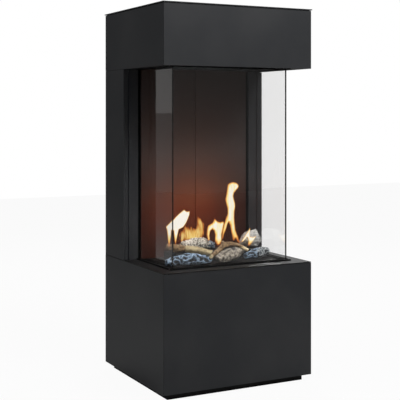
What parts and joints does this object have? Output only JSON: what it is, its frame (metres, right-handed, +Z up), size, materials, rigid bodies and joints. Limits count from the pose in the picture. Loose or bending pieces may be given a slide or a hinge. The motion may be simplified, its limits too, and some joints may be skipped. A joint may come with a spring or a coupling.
{
  "type": "gas fireplace",
  "caption": "Free-standing sealed gas fireplace: black box base with controls, fire room glazed on three sides with ceramic logs, rear column, square hood and rear flue outlet.",
  "frame": {"origin": "centre of the casing's footprint on the floor, under the plinth", "axes": "+Z up, +X to the viewer's right, +Y to the rear, towards the flue outlet"},
  "size_m": [0.556, 0.528, 1.25],
  "materials": {
    "casing_paint": "satin black powder coat",
    "chamber_paint": "matt heat-proof black",
    "hearth_paint": "matt heat-proof black",
    "plinth_paint": "matt black",
    "clear_glass": "clear ceramic glass",
    "rope_seal": "black woven glass fibre rope",
    "steel_plate": "plain galvanised steel",
    "burner_steel": "heat-tinted stainless steel",
    "flue_steel": "stainless steel",
    "valve_casting": "die-cast aluminium",
    "copper_pipe": "drawn copper",
    "brass_union": "turned brass",
    "black_plastic": "fine textured black",
    "red_plastic": "red",
    "probe_ceramic": "glazed white",
    "screw_steel": "black oxide",
    "log_charred": "charred blue-black ceramic fibre",
    "log_ash": "ash grey ceramic fibre",
    "log_tan": "tan ceramic fibre",
    "log_bark": "brown bark ceramic fibre"
  },
  "bodies": {
    "stove": {"plinth_frame": "plinth_paint", "base_floor": "steel_plate", "base_posts": "steel_plate", "base_side_left": "casing_paint", "base_side_right": "casing_paint", "base_rear": "casing_paint", "hearth_plate": "hearth_paint", "column_side_left": "casing_paint", "column_side_right": "casing_paint", "chamber_jambs": "casing_paint", "back_wall_left": "chamber_paint", "back_wall_right": "chamber_paint", "rear_panel": "casing_paint", "hood_front": "casing_paint", "hood_side_left": "casing_paint", "hood_side_right": "casing_paint", "hood_ceiling": "chamber_paint", "lid": "casing_paint", "flue_box": "steel_plate", "flue_spigot_outer": "flue_steel", "flue_spigot_inner": "flue_steel", "glass_front": "clear_glass", "glass_left": "clear_glass", "glass_right": "clear_glass", "glass_rails": "hearth_paint", "glass_seals": "rope_seal", "burner_tray": "hearth_paint", "burner": "burner_steel", "pilot_burner": "burner_steel", "pilot_probes": "probe_ceramic", "valve_bracket": "steel_plate", "gas_valve": "valve_casting", "gas_inlet": "brass_union", "gas_supply_pipe": "copper_pipe", "burner_pipe": "copper_pipe", "pilot_pipe": "copper_pipe", "receiver_box": "black_plastic", "pivot_brackets": "steel_plate", "push_catch": "black_plastic", "casing_screws": "screw_steel", "log_charred_left": "log_charred", "log_charred_right": "log_charred", "log_centre": "log_ash", "log_tan": "log_tan", "log_grey": "log_ash", "log_small_left": "log_bark", "log_branch": "log_bark", "log_rear_right": "log_ash"},
    "service_door": {"door_panel": "casing_paint", "door_frame": "steel_plate"},
    "catch_plunger": {"catch_plunger": "steel_plate"},
    "manual_knob": {"manual_knob": "black_plastic"},
    "flame_knob": {"flame_knob": "black_plastic"},
    "rocker_switch": {"rocker_switch": "black_plastic"},
    "reset_button": {"reset_button": "red_plastic"},
    "relief_flap": {"relief_flap": "steel_plate"},
    "foot_front_left": {"foot_front_left": "steel_plate"},
    "foot_front_right": {"foot_front_right": "steel_plate"},
    "foot_rear_left": {"foot_rear_left": "steel_plate"},
    "foot_rear_right": {"foot_rear_right": "steel_plate"}
  },
  "joints": [
    {"name": "door_hinge", "type": "hinge", "parent": "stove", "child": "service_door", "pos_m": [0.267, -0.229, 0.21], "axis": [0, 0, 1], "range_deg": [0, 90]},
    {"name": "catch_push", "type": "slide", "parent": "stove", "child": "catch_plunger", "axis": [0, 1, 0], "range_m": [0, 0.006], "stiffness_N_per_m": 250},
    {"name": "manual_knob_turn", "type": "hinge", "parent": "stove", "child": "manual_knob", "pos_m": [-0.055, -0.165, 0.073], "axis": [0, 1, 0], "range_deg": [0, 90]},
    {"name": "flame_knob_turn", "type": "hinge", "parent": "stove", "child": "flame_knob", "pos_m": [0.005, -0.165, 0.073], "axis": [0, 1, 0], "range_deg": [0, 210]},
    {"name": "rocker_tilt", "type": "hinge", "parent": "stove", "child": "rocker_switch", "pos_m": [0.105, -0.161, 0.062], "axis": [1, 0, 0], "range_deg": [0, 24]},
    {"name": "reset_push", "type": "slide", "parent": "stove", "child": "reset_button", "axis": [0, 1, 0], "range_m": [0, 0.003], "stiffness_N_per_m": 400},
    {"name": "flap_lift", "type": "hinge", "parent": "stove", "child": "relief_flap", "pos_m": [0, -0.071, 1.2103], "axis": [1, 0, 0], "range_deg": [0, 25]},
    {"name": "foot_front_left_screw", "type": "slide", "parent": "stove", "child": "foot_front_left", "axis": [0, 0, -1], "range_m": [0, 0.02]},
    {"name": "foot_front_right_screw", "type": "slide", "parent": "stove", "child": "foot_front_right", "axis": [0, 0, -1], "range_m": [0, 0.02]},
    {"name": "foot_rear_left_screw", "type": "slide", "parent": "stove", "child": "foot_rear_left", "axis": [0, 0, -1], "range_m": [0, 0.02]},
    {"name": "foot_rear_right_screw", "type": "slide", "parent": "stove", "child": "foot_rear_right", "axis": [0, 0, -1], "range_m": [0, 0.02]}
  ]
}
